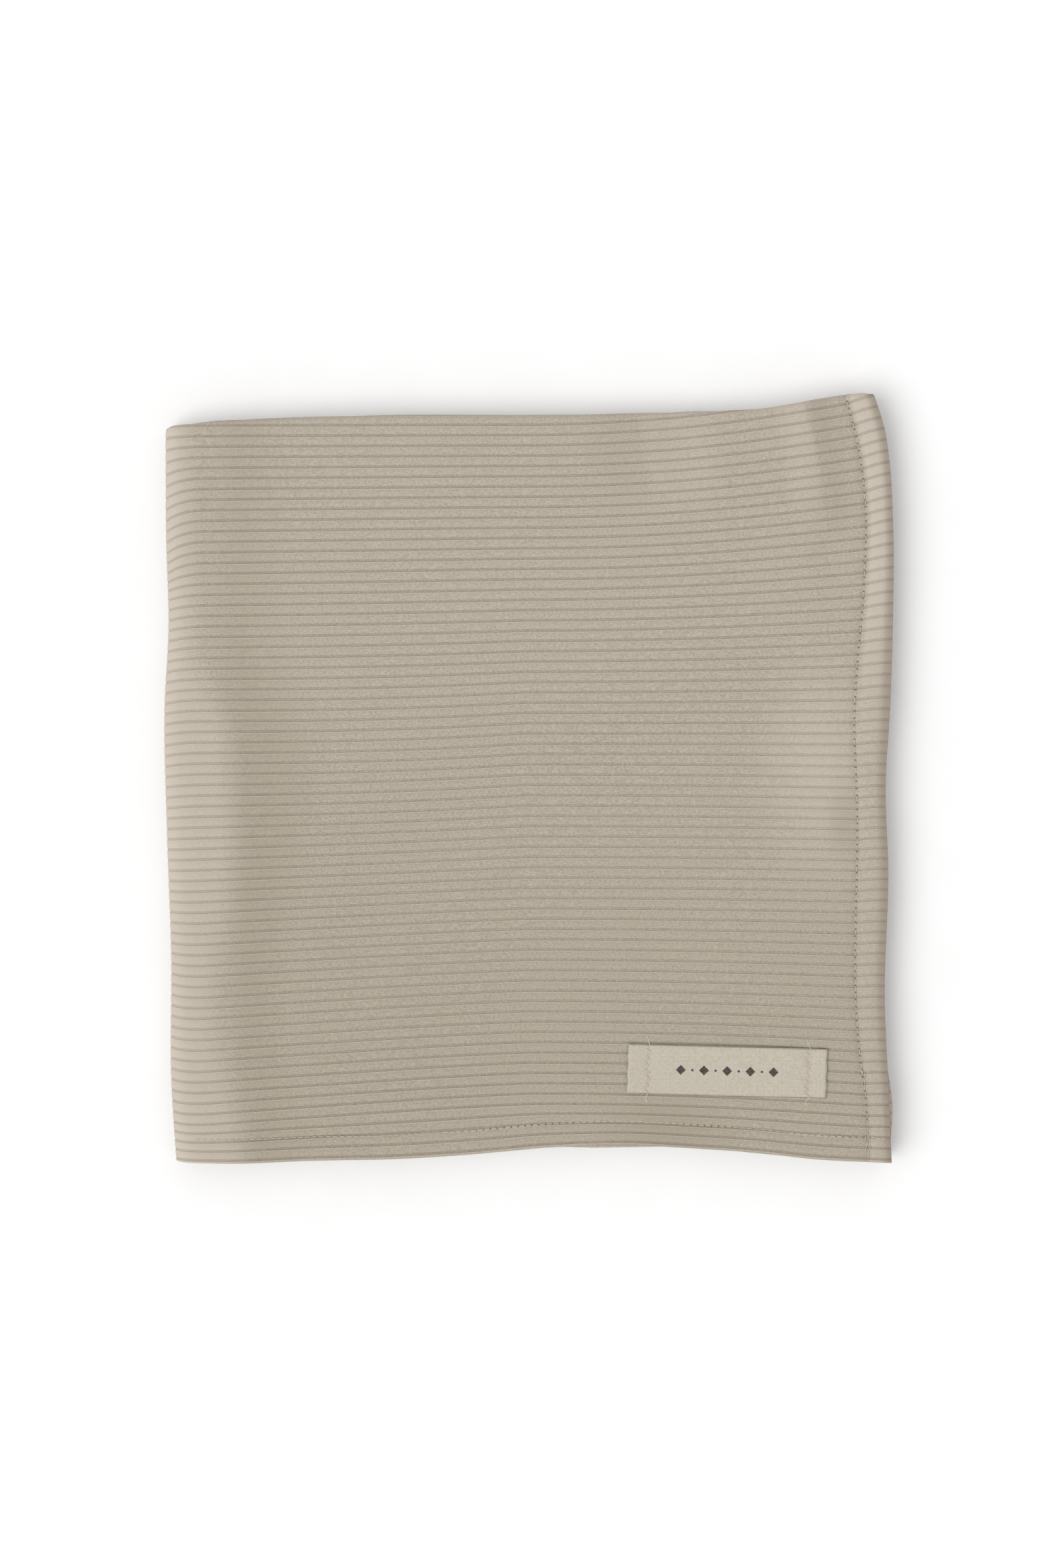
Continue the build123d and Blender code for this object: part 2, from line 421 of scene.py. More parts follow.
def closed_sheet(name, columns, v, m, right_side, wrong_side, every):
    """A closed thin sheet: its right side has every column, its wrong side only some of them."""
    rows, count = v.shape
    turning = set(np.nonzero(columns[DEPTH_X])[0])
    ends = {0, 1, 2, 3, count - 4, count - 3, count - 2, count - 1}
    kept = sorted(set(range(0, count, every)) | turning | ends)
    outside = sheet_points(columns, v, right_side)
    inside = sheet_points(columns[:, kept], v[:, kept], wrong_side[:, kept])
    on_top = 1 - columns[QUARTER]
    marks = np.stack(np.broadcast_arrays(columns[COLUMN_X], v, m, columns[HAS_HEM], on_top), axis=-1)
    base = rows * count
    n = len(kept)
    faces = []
    for r in range(rows - 1):
        a = r * count
        faces += [(a + c, a + c + 1, a + count + c + 1, a + count + c) for c in range(count - 1)]
        b = base + r * n
        faces += [(b + c, b + n + c, b + n + c + 1, b + c + 1) for c in range(n - 1)]
        faces.append((a, a + count, b + n, b))
        faces.append((a + count - 1, b + n - 1, b + 2 * n - 1, a + 2 * count - 1))
    for r in (0, rows - 1):
        for c in range(n - 1):
            run = list(range(r * count + kept[c], r * count + kept[c + 1] + 1))
            faces.append(tuple(run + [base + r * n + c + 1, base + r * n + c]))
    points = np.concatenate([outside.reshape(-1, 3), inside.reshape(-1, 3)])
    kinds = len(mark_names)
    marks = np.concatenate([marks.reshape(-1, kinds), marks[:, kept].reshape(-1, kinds)])
    return new_piece(name, points, faces, marks)


def free_edge(columns):
    """How far each column is from the free edge of the side hem."""
    return np.where(columns[HAS_HEM] > 0, right - columns[COLUMN_X], far_away)


def seam_draw(columns, v):
    """How strongly the two seams draw the cloth in, at each point of the face."""
    side = columns[HAS_HEM] * bump((columns[COLUMN_X] - side_seam_x) / seam_half)
    end = 0.6 * bump((v - end_seam_y) / seam_half)
    return np.maximum(side, end)


def face_sheet(name, columns, every):
    """The face of the sheet: rib by rib from the end hem to just round the far edge."""
    rows = [(m_edge + s, 0.0) for s in edge_steps] + rib_rows(m_edge + 0.5, join_at)
    rows.append((join_at, 0.0))
    m = np.array([row[0] for row in rows])[:, None]
    deep = np.array([row[1] for row in rows])[:, None]
    v = rib_place(columns, m)
    v = np.where(m <= m_edge + edge_round, near + m - m_edge, v)
    thick = knit / 2 * rounded(free_edge(columns)) * rounded(v - near)
    sunk = groove_depth * deep + seam_depth * seam_draw(columns, v)
    return closed_sheet(name, columns, v, m, thick * (1 - sunk / (knit / 2)), -thick, every)


def core_sheet(name, columns, every):
    """The hidden part of the sheet: three more layers, behind the face."""
    rows = [join_at]
    rows += list(spaced(join_at, v_near, rib_pitch / 2)[1:])
    rows += list(spaced(v_near, v_out, 0.16)[1:])
    rows += list(spaced(v_out, v_inside, rib_pitch / 2)[1:])
    rows += list(spaced(v_inside, v_return, 0.24)[1:])
    rows += list(spaced(v_return, v_end - edge_round, rib_pitch / 2)[1:])
    rows += [v_end - s for s in edge_steps[-2::-1]]
    m = np.array(rows)[:, None]
    start = rib_place(columns, np.array([[join_at]]))
    v = m + (start - join_at) * np.clip(1 - (m - join_at) / 30, 0, 1)
    deep = 0.5 + 0.5 * np.cos(2 * np.pi * m / rib_pitch)
    thick = knit / 2 * rounded(free_edge(columns)) * rounded(v_end - v)
    return closed_sheet(name, columns, v, m, thick * (1 - 0.5 * deep), -thick, every)


# ---------------------------------------------------------------- materials
def shader(name, colour, roughness, sheen=0.0):
    """A new material with the given constants: (material, node tree, its surface node)."""
    material = bpy.data.materials.new(name)
    material.use_nodes = True
    tree = material.node_tree
    surface = tree.nodes["Principled BSDF"]
    surface.inputs["Base Color"].default_value = (*colour, 1)
    surface.inputs["Roughness"].default_value = roughness
    surface.inputs["Specular IOR Level"].default_value = 0.25
    surface.inputs["Sheen Weight"].default_value = sheen
    surface.inputs["Sheen Roughness"].default_value = 0.6
    return material, tree, surface


def math_node(tree, operation, *values):
    """One piece of arithmetic on sockets and numbers."""
    node = tree.nodes.new("ShaderNodeMath")
    node.operation = operation
    for i, value in enumerate(values):
        if isinstance(value, (int, float)):
            node.inputs[i].default_value = value
        else:
            tree.links.new(value, node.inputs[i])
    return node.outputs[0]


def product(tree, *values):
    """All the values multiplied together."""
    result = values[0]
    for value in values[1:]:
        result = math_node(tree, "MULTIPLY", result, value)
    return result


def greatest(tree, *values):
    """The greatest of the values."""
    result = values[0]
    for value in values[1:]:
        result = math_node(tree, "MAXIMUM", result, value)
    return result


def ramp(tree, value, low, high, out_low=0.0, out_high=1.0):
    """A soft step from out_low where value is low to out_high where it is high."""
    node = tree.nodes.new("ShaderNodeMapRange")
    node.interpolation_type = "SMOOTHSTEP"
    tree.links.new(value, node.inputs["Value"])
    node.inputs["From Min"].default_value = low
    node.inputs["From Max"].default_value = high
    node.inputs["To Min"].default_value = out_low
    node.inputs["To Max"].default_value = out_high
    return node.outputs["Result"]


def hill(tree, value, centre, reach, height=1.0):
    """height where value is at the centre, falling softly to 0 at reach each side of it."""
    away = math_node(tree, "ABSOLUTE", math_node(tree, "SUBTRACT", value, centre))
    return ramp(tree, away, 0, reach, height, 0.0)


def noise(tree, scale, detail, roughness=0.5, stretch=None):
    """Noise in object space; scale is in features per metre."""
    coordinates = tree.nodes.new("ShaderNodeTexCoord").outputs["Object"]
    if stretch is not None:
        mapping = tree.nodes.new("ShaderNodeMapping")
        mapping.inputs["Scale"].default_value = stretch
        tree.links.new(coordinates, mapping.inputs["Vector"])
        coordinates = mapping.outputs["Vector"]
    node = tree.nodes.new("ShaderNodeTexNoise")
    node.inputs["Scale"].default_value = scale
    node.inputs["Detail"].default_value = detail
    node.inputs["Roughness"].default_value = roughness
    tree.links.new(coordinates, node.inputs["Vector"])
    return node.outputs["Fac"]


def mix(tree, factor, a, b, blend="MIX"):
    """Colour a blended with b, each a socket or three numbers."""
    node = tree.nodes.new("ShaderNodeMix")
    node.data_type = "RGBA"
    node.blend_type = blend
    for socket, value in ((node.inputs["A"], a), (node.inputs["B"], b)):
        if isinstance(value, tuple):
            socket.default_value = (*value, 1)
        else:
            tree.links.new(value, socket)
    if isinstance(factor, float):
        node.inputs["Factor"].default_value = factor
    else:
        tree.links.new(factor, node.inputs["Factor"])
    return node.outputs["Result"]


def add_bump(tree, surface, height, distance, strength):
    """Small surface relief, with its depth in metres."""
    node = tree.nodes.new("ShaderNodeBump")
    node.inputs["Strength"].default_value = strength
    node.inputs["Distance"].default_value = distance
    tree.links.new(height, node.inputs["Height"])
    tree.links.new(node.outputs["Normal"], surface.inputs["Normal"])


def painted_light_zones(tree, x, v, top_x, hem_x, from_fold):
    """Painted light on the knit: paler round the last fold, along the side hem, over the swell beside
    the hem, on the raised far corner, beside the far crease and a little over the far half."""
    bend = ramp(tree, x, -127, -111, 0.36, 0.0)
    at_fold = math_node(tree, "ADD", ramp(tree, from_fold, -110, -96, 0.52, 0.0), bend)
    hem = ramp(tree, hem_x, side_seam_x, side_seam_x + 2.5)
    at_hem = product(tree, hem, ramp(tree, v, -10, 80, 0.22, 0.85))
    beside_hem = product(tree, hill(tree, top_x, 102, 30, 0.52), hill(tree, v, 6, 62))
    crease_side = product(
        tree, ramp(tree, top_x, 38, 45), ramp(tree, top_x, 56, 80, 0.30, 0.0), ramp(tree, v, 72, 112),
    )
    swell_top = product(tree, ramp(tree, top_x, 83, 97), ramp(tree, top_x, 99, 103, 0.50, 0.0))
    far_corner = product(tree, swell_top, ramp(tree, v, 70, 108))
    far_half = ramp(tree, v, -10, 90, 0.0, 0.12)
    return greatest(tree, at_fold, at_hem, beside_hem, crease_side, far_corner, far_half)


def painted_shade_zones(tree, x, v, top_x, from_fold):
    """Painted shade on the knit: darker inside the band of the last fold, towards the near edge, in
    the soft crease of the far corner and at two places beside the side seam."""
    inside_band = product(tree, hill(tree, from_fold, -91, 26, 0.46), ramp(tree, x, -113, -98))
    near_half = ramp(tree, v, -90, 20, 0.22, 0.0)
    near_edge_sag = product(tree, hill(tree, top_x, 45, 46, 0.62), ramp(tree, v, -124, -98, 1.0, 0.0))
    crease = product(tree, hill(tree, top_x, 32, 14, 0.22), ramp(tree, v, 90, 112))
    behind_swell = product(tree, hill(tree, top_x, 106, 7, 0.42), ramp(tree, v, 80, 95))
    beside_seam = product(tree, hill(tree, top_x, 110, 8, 0.85), hill(tree, v, -14, 20))
    return greatest(tree, inside_band, near_half, near_edge_sag, crease, behind_swell, beside_seam)


def groove_shade_strength(tree, x, v):
    """The painted shade in the grooves is strongest towards the far edge, the last fold and the near
    edge.
    """
    far_grooves = ramp(tree, v, -40, 100, 0.37, 0.66)
    near_grooves = ramp(tree, v, -116, -74, 0.66, 0.37)
    fold_grooves = ramp(tree, x, -112, -30, 0.56, 0.37)
    return greatest(tree, far_grooves, near_grooves, fold_grooves)


def holes(tree, across, along):
    """Painted shade for a row of needle holes: across is the distance from the seam, along the place on
    it.
    """
    near_line = ramp(tree, math_node(tree, "ABSOLUTE", across), 0.22, 0.42, 1.0, 0.0)
    phase = math_node(tree, "PINGPONG", along, stitch_pitch / 2)
    return product(tree, near_line, ramp(tree, phase, 0.80, 1.05))


def needle_hole_shade(tree, x, v, hem_x):
    """Painted shade in the needle holes: the side seam's holes are covered where it is oversewn, and
    the end seam only shows its holes where it pulls tight."""
    open_seam = ramp(tree, v, near + 11, near + 15, 0.10, 1.0)
    side = product(tree, holes(tree, math_node(tree, "SUBTRACT", hem_x, side_seam_x), v), open_seam)
    drawn = greatest(tree, hill(tree, x, -4, 42), hill(tree, x, 61, 18), hill(tree, x, 107, 12, 0.6))
    end = product(tree, holes(tree, math_node(tree, "SUBTRACT", v, end_seam_y), x), drawn)
    return greatest(tree, side, end)


def rib_knit():
    """Flat bands of fine knit with a narrow groove between them and needle holes at the seams; the
    grooves and holes get painted shade, and soft zones of painted light and shade lie over it.
    """
    dark = (0.326, 0.288, 0.228)
    light = (0.502, 0.448, 0.366)
    # Painted light and shade: a pale tone for lit zones and the painted highlight on groove lips, and
    # dark tones for painted shade in zones, on the rolled hem edge, in the grooves and in the needle
    # holes.
    painted_light_tone = (0.560, 0.502, 0.428)
    painted_shade_tone = (0.330, 0.290, 0.222)
    rolled_edge_shade = (0.335, 0.282, 0.225)
    groove_shade = (0.72, 0.70, 0.69)
    hole_shade_colour = (0.165, 0.138, 0.102)
    material, tree, surface = shader("rib_knit", light, 0.88, 0.10)

    def mark(name):
        node = tree.nodes.new("ShaderNodeAttribute")
        node.attribute_name = name
        return node.outputs["Fac"]

    def only_where(flag):
        """x where the flag is set, and a place far from everything elsewhere."""
        return math_node(tree, "MULTIPLY_ADD", math_node(tree, "SUBTRACT", flag, 1.0), far_away, x)

    x, v, m, hem_side, on_top = [mark(name) for name in mark_names]
    hem_x = only_where(hem_side)
    top_x = only_where(on_top)
    narrowing = greatest(tree, ramp(tree, v, 15, 55, 0.0, 13.0), hill(tree, v, -72, 58, 7.0))
    from_fold = math_node(tree, "ADD", x, narrowing)

    # Heathered yarn, and a slow drift of tone over the whole cloth.
    heather = ramp(tree, noise(tree, 2000, 3, 0.75, (0.6, 1.0, 1.0)), 0.30, 0.70)
    colour = mix(tree, heather, dark, light)
    drift = ramp(tree, noise(tree, 22, 3), 0.3, 0.7, 0.0, 0.10)
    colour = mix(tree, drift, colour, light)
    # Soft zones of painted shade and painted light over the cloth.
    colour = mix(tree, painted_shade_zones(tree, x, v, top_x, from_fold), colour, painted_shade_tone)
    colour = mix(tree, painted_light_zones(tree, x, v, top_x, hem_x, from_fold), colour, painted_light_tone)

    # Each groove has a painted highlight, a pale lip, on its near side, and painted shade that darkens
    # whatever colour the groove lies in.
    from_groove = math_node(tree, "PINGPONG", math_node(tree, "SUBTRACT", m, rib_at), rib_pitch / 2)
    in_groove = ramp(tree, from_groove, groove_half - 0.17, groove_half + 0.03, 1.0, 0.0)
    from_lip_highlight = math_node(tree, "PINGPONG", math_node(tree, "SUBTRACT", m, rib_at - 0.64), rib_pitch / 2)
    colour = mix(tree, ramp(tree, from_lip_highlight, 0.08, 0.26, 0.42, 0.0), colour, painted_light_tone)
    # Painted shade on the side hem's edge, where it rolls over away from the light, on top of its real
    # roll.
    edge_shade_mask = ramp(tree, hem_x, right - 4.4, right - 0.8, 0.0, 0.8)
    colour = mix(tree, edge_shade_mask, colour, rolled_edge_shade)
    shade = product(tree, in_groove, groove_shade_strength(tree, x, v))
    colour = mix(tree, shade, colour, groove_shade, "MULTIPLY")
    # Painted shade in the needle holes.
    colour = mix(tree, needle_hole_shade(tree, x, v, hem_x), colour, hole_shade_colour)
    tree.links.new(colour, surface.inputs["Base Color"])

    loops = noise(tree, 1500, 2, 0.6, (0.7, 1.0, 1.0))
    height = math_node(tree, "SUBTRACT", loops, math_node(tree, "MULTIPLY", in_groove, 0.7))
    add_bump(tree, surface, height, 0.00018, 0.9)
    tree.links.new(ramp(tree, loops, 0.2, 0.8, 0.80, 0.94), surface.inputs["Roughness"])
    return material


def cotton_tape():
    """Plain-woven tape: a fine over-and-under weave, slightly mottled."""
    material, tree, surface = shader("cotton_tape", (0.50, 0.45, 0.37), 0.85, 0.05)
    coordinates = tree.nodes.new("ShaderNodeTexCoord").outputs["Object"]
    weave = []
    for direction in ("X", "Y"):
        wave = tree.nodes.new("ShaderNodeTexWave")
        wave.bands_direction = direction
        wave.inputs["Scale"].default_value = 700
        wave.inputs["Distortion"].default_value = 1.2
        tree.links.new(coordinates, wave.inputs["Vector"])
        weave.append(wave.outputs["Fac"])
    height = math_node(tree, "MULTIPLY", *weave)
    speckle = noise(tree, 1200, 3)
    # The weave's raised threads are painted paler and its low places darker: painted light and painted
    # shade.
    colour = mix(tree, ramp(tree, height, 0.0, 0.6), (0.490, 0.442, 0.362), (0.640, 0.584, 0.492))
    colour = mix(tree, ramp(tree, speckle, 0.35, 0.7, 0.0, 0.70), colour, (0.455, 0.408, 0.330))
    tree.links.new(colour, surface.inputs["Base Color"])
    add_bump(tree, surface, height, 0.00006, 0.7)
    tree.links.new(ramp(tree, speckle, 0.2, 0.8, 0.78, 0.92), surface.inputs["Roughness"])
    return material


def sewing_cotton(name, colour, shade):
    """Spun thread: a fine twist and a little unevenness."""
    material, tree, surface = shader(name, colour, 0.7, 0.08)
    twist = noise(tree, 2600, 2)
    tree.links.new(mix(tree, ramp(tree, twist, 0.3, 0.7), shade, colour), surface.inputs["Base Color"])
    add_bump(tree, surface, twist, 0.00005, 0.6)
    tree.links.new(ramp(tree, twist, 0.2, 0.8, 0.6, 0.8), surface.inputs["Roughness"])
    return material


def printed_ink():
    """Dark print, thin enough for the tape's weave to break it up."""
    material, tree, surface = shader("label_print", (0.060, 0.052, 0.044), 0.75)
    wear = noise(tree, 1400, 3)
    colour = mix(tree, ramp(tree, wear, 0.35, 0.75), (0.050, 0.043, 0.036), (0.110, 0.098, 0.084))
    tree.links.new(colour, surface.inputs["Base Color"])
    add_bump(tree, surface, wear, 0.00004, 0.5)
    tree.links.new(ramp(tree, wear, 0.2, 0.8, 0.65, 0.85), surface.inputs["Roughness"])
    return material


materials = {
    "rib_knit": rib_knit(),
    "sewing_thread": sewing_cotton("sewing_thread", (0.560, 0.506, 0.416), (0.450, 0.400, 0.320)),
    "cotton_tape": cotton_tape(),
    "tack_thread": sewing_cotton("tack_thread", (0.640, 0.592, 0.505), (0.540, 0.492, 0.410)),
    "label_print": printed_ink(),
}


def finish_piece(piece, slot, *nodes):
    """Give a piece the material of its slot, and hide the CAD nodes it stands in for."""
    piece.data.materials.clear()
    piece.data.materials.append(materials[slot])
    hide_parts(*nodes)


# ---------------------------------------------------------------- the sheet
face_outer = face_sheet("wrap_face_outer", outer_sheet(step=2.4, low_step=7.0, steps=14), every=7)
finish_piece(
    face_outer, "rib_knit",
    "wrap_quarter_top", "wrap_quarter_bottom", "side_hem_top", "end_hem_top", "end_hem_bottom",
)
face_inner = face_sheet("wrap_face_inner", inner_sheet(step=5.0, steps=10), every=6)
finish_piece(
    face_inner, "rib_knit",
    "wrap_quarter_upper", "wrap_quarter_lower", "side_hem_upper", "end_hem_upper", "end_hem_lower",
)
core_outer = core_sheet("wrap_core_outer", outer_sheet(step=16, low_step=16, steps=14), every=1)
finish_piece(core_outer, "rib_knit", "last_fold_outer")
core_inner = core_sheet("wrap_core_inner", inner_sheet(step=16, steps=10), every=1)
finish_piece(core_inner, "rib_knit", "last_fold_inner", "under_fold")


def bend_over(piece):
    """Bake the piece's place into its mesh."""
    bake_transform(piece)


bend_over(face_outer)
bend_over(face_inner)
bend_over(core_outer)
bend_over(core_inner)


# ---------------------------------------------------------------- stitches
def capsule():
    """A rounded stitch, 1 long and 1 thick: rings of points (along, across, up)."""
    angles = np.linspace(0, 2 * np.pi, 7)[:-1]
    rings = [(-0.5, 0.15), (-0.44, 0.375), (-0.32, 0.5), (0.32, 0.5), (0.44, 0.375), (0.5, 0.15)]
    return np.array([
        [(end, radius * math.cos(angle), radius * math.sin(angle)) for angle in angles]
        for end, radius in rings
    ])


def stitch_rise(at, along_x, untidy):
    """How far a stitch stands out of the knit, or sinks into it where the end seam is tight."""
    if untidy:
        return 0.16
    if not along_x:
        return 0.05 * smooth((-40 - at) / 50)
    drawn = smooth((at + 24) / 20) * (1 - bump((at - 108) / 7))
    return 0.14 * smooth((-10 - at) / 40) - 0.27 * drawn


def stitch_row(name, quarter_at, places, oversewn, along_x, side, node, body):
    """A row of stitches on a flat quarter, with some untidy ones sewn over it.

    side is 1 on the right side of the cloth, -1 on the back.
    """
    shape = capsule()
    rings, around = shape.shape[:2]
    points, faces = [], []
    for i, at in enumerate([*places, *oversewn]):
        untidy = i >= len(places)
        wobble = (0.85 if untidy else 0.05) * math.sin(i * 2.39)
        along = shape[..., 0] * stitch_length
        across = shape[..., 1] * thread + wobble + 0.10 * shape[..., 0] * math.sin(i * 1.7)
        x = at + along if along_x else side_seam_x + across
        v = end_seam_y + across if along_x else at + along
        arch = 0.10 * (1 - np.square(2 * shape[..., 0]))
        rise = stitch_rise(at, along_x, untidy and side > 0)
        lift = side * (knit / 2 - sunk_in + arch + rise + shape[..., 2] * thread * 0.8)
        stitch = sheet_points(flat_columns(x, *quarter_at), v, lift).reshape(-1, 3)
        stitch[:, 2] = np.maximum(stitch[:, 2], floor_gap)  # pressed flat where the wrap rests on it
        points.append(stitch)
        base = i * rings * around
        for r in range(rings - 1):
            for c in range(around):
                a, b = base + r * around + c, base + r * around + (c + 1) % around
                faces.append((a, b, b + around, a + around))
        faces.append(tuple(range(base, base + around)))
        faces.append(tuple(range(base + (rings - 1) * around, base + rings * around)))
    piece = new_piece(name, np.concatenate(points), faces, merge=False)
    finish_piece(piece, "sewing_thread", node)
    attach(piece, body)
    return piece


# Each flat quarter's columns, the body it is on and where its end seam stops.
flat_quarters = {
    "top": ((stack, True, 0, 1), "upper_leaf", right - 1.5),
    "upper": ((upper_z, False, 1, 1), "upper_leaf", right - 1.5),
    "lower": ((lower_top, True, 1, 0), "lower_leaf", under_x),
    "bottom": ((0.0, False, 1, 0), "lower_leaf", under_x),
}
oversewn = [*np.arange(near + 2.4, near + 12.0, 0.8), *np.arange(near + 26.5, near + 31.5, 0.8)]
for which, (quarter_at, body, x_end) in flat_quarters.items():
    for kind, side in (("needle", 1), ("looper", -1)):
        node = f"end_{kind}_thread_{which}"
        places = np.arange(bend_x + 2.5, x_end - 1.0, stitch_pitch)
        name = f"end_{kind}_stitches_{which}"
        stitch_row(name, quarter_at, places, [], True, side, node, body)
        if body == "upper_leaf":
            node = f"side_{kind}_thread_{which}"
            places = np.arange(near + 1.6, far_y - 1.5, stitch_pitch)
            name = f"side_{kind}_stitches_{which}"
            stitch_row(name, quarter_at, places, oversewn, False, side, node, body)

# ---------------------------------------------------------------- label
label_turn = math.radians(-1.45)  # the tape was sewn on slightly askew
tape_thick = 0.34
tape_gap = 0.06  # between the cloth and the tape
label_low, label_high = box_mm("label_tape")
label_x, label_y = (label_low[0] + label_high[0]) / 2, (label_low[1] + label_high[1]) / 2
box_long, box_wide = label_high[0] - label_low[0], label_high[1] - label_low[1]
turn_cos, turn_sin = math.cos(label_turn), math.sin(label_turn)
tape_long = (box_long * turn_cos + box_wide * turn_sin) / math.cos(2 * label_turn)
tape_wide = (box_wide * turn_cos + box_long * turn_sin) / math.cos(2 * label_turn)
tack_low, tack_high = box_mm("label_tack_left")
tack_at = (label_x - (tack_low[0] + tack_high[0]) / 2) / turn_cos
tack_long = tack_high[1] - tack_low[1]
tack_swing = 1.1
tack_steps = 14
tack_radius = 0.15


def on_tape(a, b, height):
    """A point over the tape: a along it, b across it, height above the cloth under it."""
    x = label_x + a * turn_cos - b * turn_sin
    y = label_y + a * turn_sin + b * turn_cos
    curl = 0.32 * smooth((np.abs(a) - tack_at - 1) / 5)
    held = bump((np.abs(a) - tack_at) / 1.8)
    far_lift = 0.34 * smooth(b / (tape_wide / 2)) * (1 - held) * (np.abs(a) < tack_at)
    far_lift = far_lift - 0.16 * smooth(-b / (tape_wide / 2) * 1.3 - 0.3)
    pull = -0.10 * held
    ripple = 0.05 * np.sin(a / 3.1 + 0.7) * np.cos(b / 4.2)
    z = stack + relief(x, y) + tape_gap + curl + far_lift + pull + ripple + height
    return np.stack(np.broadcast_arrays(x, y, z), axis=-1)


def label_piece():
    """The tape: a closed thin sheet with cut ends and slightly wavering edges."""
    a = spaced(-tape_long / 2, tape_long / 2, 0.9)[None, :]
    b = spaced(-tape_wide / 2, tape_wide / 2, 0.8)[:, None]
    rows, count = b.size, a.size
    bow = 0.25 * np.cos(np.pi * a / tape_long)
    across = b + 0 * a - bow * (b < 0) * np.abs(b) / tape_wide
    along = a + 0.12 * np.sin(b * 1.1)
    edge = np.sqrt(np.clip(1 - (np.abs(b) / (tape_wide / 2)) ** 40, 0, 1)) + 0 * a
    top = on_tape(along, across, tape_thick / 2 + tape_thick / 2 * edge)
    under = on_tape(along, across, tape_thick / 2 - tape_thick / 2 * edge)
    base = rows * count
    faces = []
    for r in range(rows - 1):
        for k in range(count - 1):
            i = r * count + k
            faces.append((i, i + 1, i + count + 1, i + count))
            faces.append((base + i, base + i + count, base + i + count + 1, base + i + 1))
        i = r * count
        faces.append((i, i + count, base + i + count, base + i))
        i = r * count + count - 1
        faces.append((i, base + i, base + i + count, i + count))
    for r in (0, rows - 1):
        for k in range(count - 1):
            i = r * count + k
            faces.append((i, i + 1, base + i + 1, base + i))
    piece = new_piece("label", np.concatenate([top.reshape(-1, 3), under.reshape(-1, 3)]), faces)
    finish_piece(piece, "cotton_tape", "label_tape")
    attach(piece, "upper_leaf")
    return piece


def thread_along(name, path, radius, slot, node, body):
    """A round thread through points given in millimetres."""
    curve = bpy.data.curves.new(name, "CURVE")
    curve.dimensions = "3D"
    curve.bevel_depth = radius * MM
    curve.bevel_resolution = 2
    curve.use_fill_caps = True
    spline = curve.splines.new("POLY")
    spline.points.add(len(path) - 1)
    for point, place in zip(spline.points, path):
        point.co = (*(place * MM), 1)
    maker = bpy.data.objects.new(name + "_path", curve)
    mesh = bpy.data.meshes.new_from_object(maker)
    bpy.data.objects.remove(maker)
    mesh.name = name
    mesh.shade_smooth()
    piece = bpy.data.objects.new(name, mesh)
    bpy.context.scene.collection.objects.link(piece)
    finish_piece(piece, slot, node)
    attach(piece, body)
    return piece


def tack_knots(side):
    """Where the thread of a tack seam turns: a tail, a zigzag across the tape and a tail."""
    middle = side * tack_at
    half = tape_wide / 2
    tail = 0.75 * (tack_long - tape_wide) / 2
    zigzag = []
    for i in range(tack_steps + 1):
        swing = tack_swing * (0.72 + 0.28 * math.sin(2.3 * i + side)) * (-1) ** i
        across = tape_wide * (i / tack_steps - 0.5) * 0.96 + 0.18 * math.sin(1.7 * i)
        zigzag.append((middle + swing, across))
    start = [(middle + 0.3, -half - tail), (middle - 0.4, -half - tail / 2)]
    end = [(middle + 0.3, half + tail / 2), (middle - 0.5, half + tail)]
    return np.array(start + zigzag + end)


def tack_seam(name, side, node):
    """A zigzag across the tape that runs on into the cloth past both of its edges."""
    knots = tack_knots(side)
    path = []
    for i in range(len(knots) - 1):
        for t in np.linspace(0, 1, 5)[:-1]:
            a, b = knots[i] + (knots[i + 1] - knots[i]) * t
            over = smooth((tape_wide / 2 + 0.35 - abs(b)) / 0.5)
            height = over * (tape_thick + 0.12) - 0.03 + (0.05 + 0.08 * over) * math.sin(math.pi * t)
            path.append(on_tape(np.array(a), np.array(b), height))
    return thread_along(name, np.array(path), tack_radius, "tack_thread", node, "upper_leaf")


def motif_piece():
    """A plain printed row of lozenges with dots between them."""
    pitch, size = 8.0, 1.7
    points, faces = [], []
    shapes = [(pitch * (i - 2), size, 4) for i in range(5)]
    shapes += [(pitch * (i - 1.5), size / 4, 12) for i in range(4)]
    for place, radius, sides in shapes:
        base = len(points)
        for height in (tape_thick - 0.02, tape_thick + 0.035):
            for ring in (0.5, 1.0):
                for k in range(sides):
                    angle = 2 * math.pi * k / sides
                    a = place + ring * radius * math.cos(angle)
                    b = ring * radius * math.sin(angle)
                    points.append(on_tape(np.array(a), np.array(b), height))
        for k in range(sides):
            n = (k + 1) % sides
            for low, high in ((0, 1), (1, 3), (3, 2)):
                faces.append((
                    base + low * sides + k, base + low * sides + n,
                    base + high * sides + n, base + high * sides + k,
                ))
        faces.append(tuple(range(base, base + sides)))
        faces.append(tuple(range(base + 2 * sides, base + 3 * sides)))
    piece = new_piece("label_pattern", np.array(points), faces, merge=False)
    piece.data.shade_flat()
    finish_piece(piece, "label_print", "label_motif")
    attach(piece, "upper_leaf")
    return piece


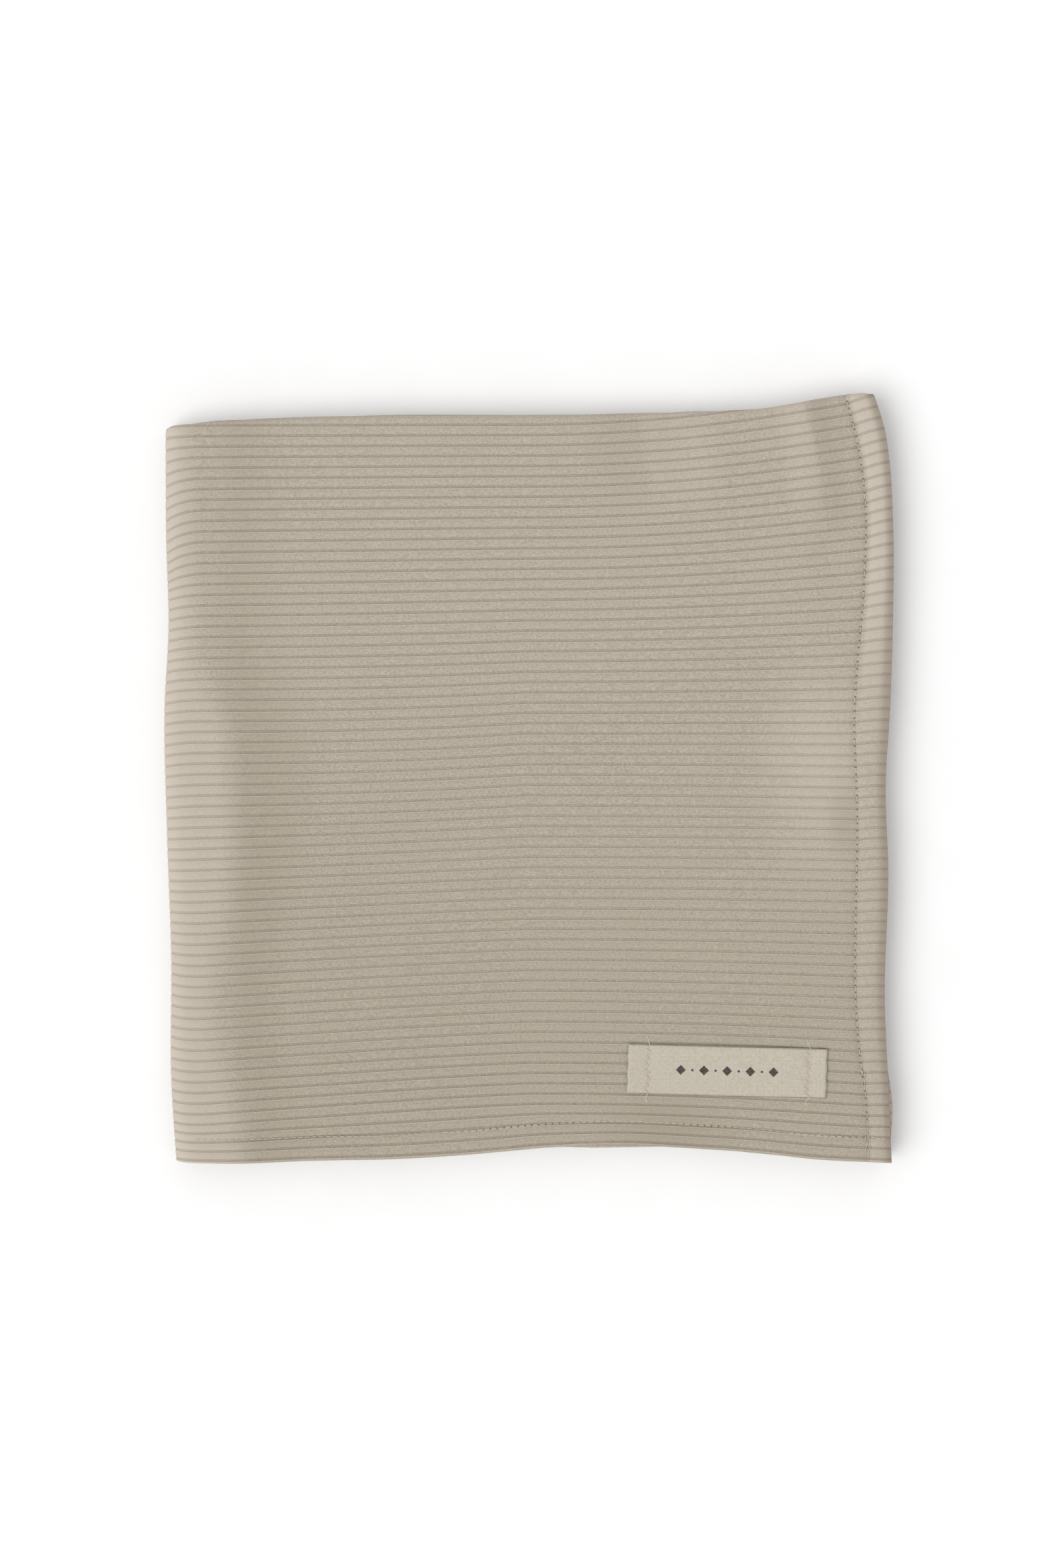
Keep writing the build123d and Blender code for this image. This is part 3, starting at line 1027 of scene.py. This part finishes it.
label = label_piece()
tacks = [
    tack_seam("label_tack_seam_left", -1, "label_tack_left"),
    tack_seam("label_tack_seam_right", 1, "label_tack_right"),
]
motif = motif_piece()


# ---------------------------------------------------------------- floor, light and camera
def paper_floor():
    """White paper, wide enough for its edges to be out of sight."""
    half = 30.0
    corners = [(-half, -half, 0), (half, -half, 0), (half, half, 0), (-half, half, 0)]
    mesh = bpy.data.meshes.new("floor")
    mesh.from_pydata(corners, [], [(0, 1, 2, 3)])
    floor = bpy.data.objects.new("floor", mesh)
    material, tree, surface = shader("floor_paper", (0.92, 0.92, 0.92), 0.9)
    mottle = ramp(tree, noise(tree, 40, 2), 0.3, 0.7)
    colour = mix(tree, mottle, (0.945, 0.945, 0.947), (0.955, 0.955, 0.957))
    tree.links.new(colour, surface.inputs["Base Color"])
    mesh.materials.append(material)
    bpy.context.scene.collection.objects.link(floor)


def lights():
    """An even white surround, and one broad soft light from the near left."""
    world = bpy.data.worlds.new("studio")
    world.use_nodes = True
    background = world.node_tree.nodes["Background"]
    background.inputs["Color"].default_value = (1.0, 1.0, 1.0, 1)
    background.inputs["Strength"].default_value = 0.71
    bpy.context.scene.world = world

    light = bpy.data.lights.new("key", "SUN")
    light.energy = 1.44
    light.angle = math.radians(48)
    light.color = (1.0, 0.995, 0.985)
    key = bpy.data.objects.new("key", light)
    toward = (-0.85, -0.42, 1.30)
    tilt = math.atan2(math.hypot(toward[0], toward[1]), toward[2])
    key.rotation_euler = (tilt, 0, math.atan2(toward[0], -toward[1]))
    bpy.context.scene.collection.objects.link(key)


def camera_above():
    """Straight down, from where the wrap lies in the picture as it does in the photo."""
    camera = bpy.data.cameras.new("camera")
    camera.lens = 80
    camera.sensor_width = 36
    shown_height = 541.0  # of the scene at the top of the stack, over the picture's long side
    distance = shown_height * camera.lens / camera.sensor_width
    view = bpy.data.objects.new("camera", camera)
    view.location = (-1.4 * MM, -2.1 * MM, (stack + distance) * MM)
    bpy.context.scene.collection.objects.link(view)
    bpy.context.scene.camera = view
    bpy.context.scene.view_settings.view_transform = "Standard"


paper_floor()
lights()
camera_above()
